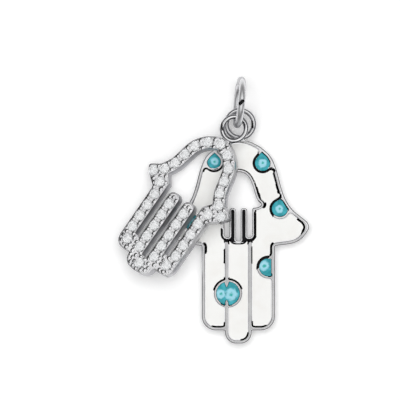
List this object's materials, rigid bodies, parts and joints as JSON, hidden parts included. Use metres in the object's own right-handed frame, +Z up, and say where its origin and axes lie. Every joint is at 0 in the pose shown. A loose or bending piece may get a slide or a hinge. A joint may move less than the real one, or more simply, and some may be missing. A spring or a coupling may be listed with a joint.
{
  "type": "hamsa pendant",
  "caption": "Enamelled silver hand with teal eyes and a hand-shaped window, and a smaller open hand set with clear stones, both hung on a jump ring, lying flat.",
  "frame": {"origin": "on the flat back of the enamelled hand, on its axis, where its fingers begin", "axes": "+X to the right of the enamelled hand, +Y from the fingers towards the jump ring, +Z up from the back to the enamel"},
  "size_m": [0.0185, 0.0258, 0.005],
  "materials": {
    "silver": "polished, rhodium plated",
    "white_enamel": "smooth",
    "teal_enamel": "glossy",
    "light_blue_enamel": "glossy",
    "clear_stone": "faceted"
  },
  "bodies": {
    "root": {"hand_plate": "silver", "palm_enamel": "white_enamel", "finger_enamel": "white_enamel", "eye_crown_left": "teal_enamel", "eye_crown_right": "teal_enamel", "eye_thumb_left": "teal_enamel", "eye_thumb_right": "teal_enamel", "eye_finger": "teal_enamel", "eye_double": "teal_enamel", "iris_crown_left": "light_blue_enamel", "iris_crown_right": "light_blue_enamel", "iris_thumb_left": "light_blue_enamel", "iris_thumb_right": "light_blue_enamel", "iris_finger": "light_blue_enamel", "iris_double_left": "light_blue_enamel", "iris_double_right": "light_blue_enamel", "stone_hand": "silver", "stone_01": "clear_stone", "stone_02": "clear_stone", "stone_03": "clear_stone", "stone_04": "clear_stone", "stone_05": "clear_stone", "stone_06": "clear_stone", "stone_07": "clear_stone", "stone_08": "clear_stone", "stone_09": "clear_stone", "stone_10": "clear_stone", "stone_11": "clear_stone", "stone_12": "clear_stone", "stone_13": "clear_stone", "stone_14": "clear_stone", "stone_15": "clear_stone", "stone_16": "clear_stone", "stone_17": "clear_stone", "stone_18": "clear_stone", "stone_19": "clear_stone", "stone_20": "clear_stone", "stone_21": "clear_stone", "stone_22": "clear_stone", "stone_23": "clear_stone", "stone_24": "clear_stone", "stone_25": "clear_stone", "stone_26": "clear_stone", "stone_27": "clear_stone", "stone_28": "clear_stone", "stone_29": "clear_stone", "stone_30": "clear_stone", "stone_31": "clear_stone", "stone_32": "clear_stone", "stone_33": "clear_stone", "stone_34": "clear_stone", "stone_35": "clear_stone", "stone_36": "clear_stone", "jump_ring": "silver"}
  },
  "joints": []
}
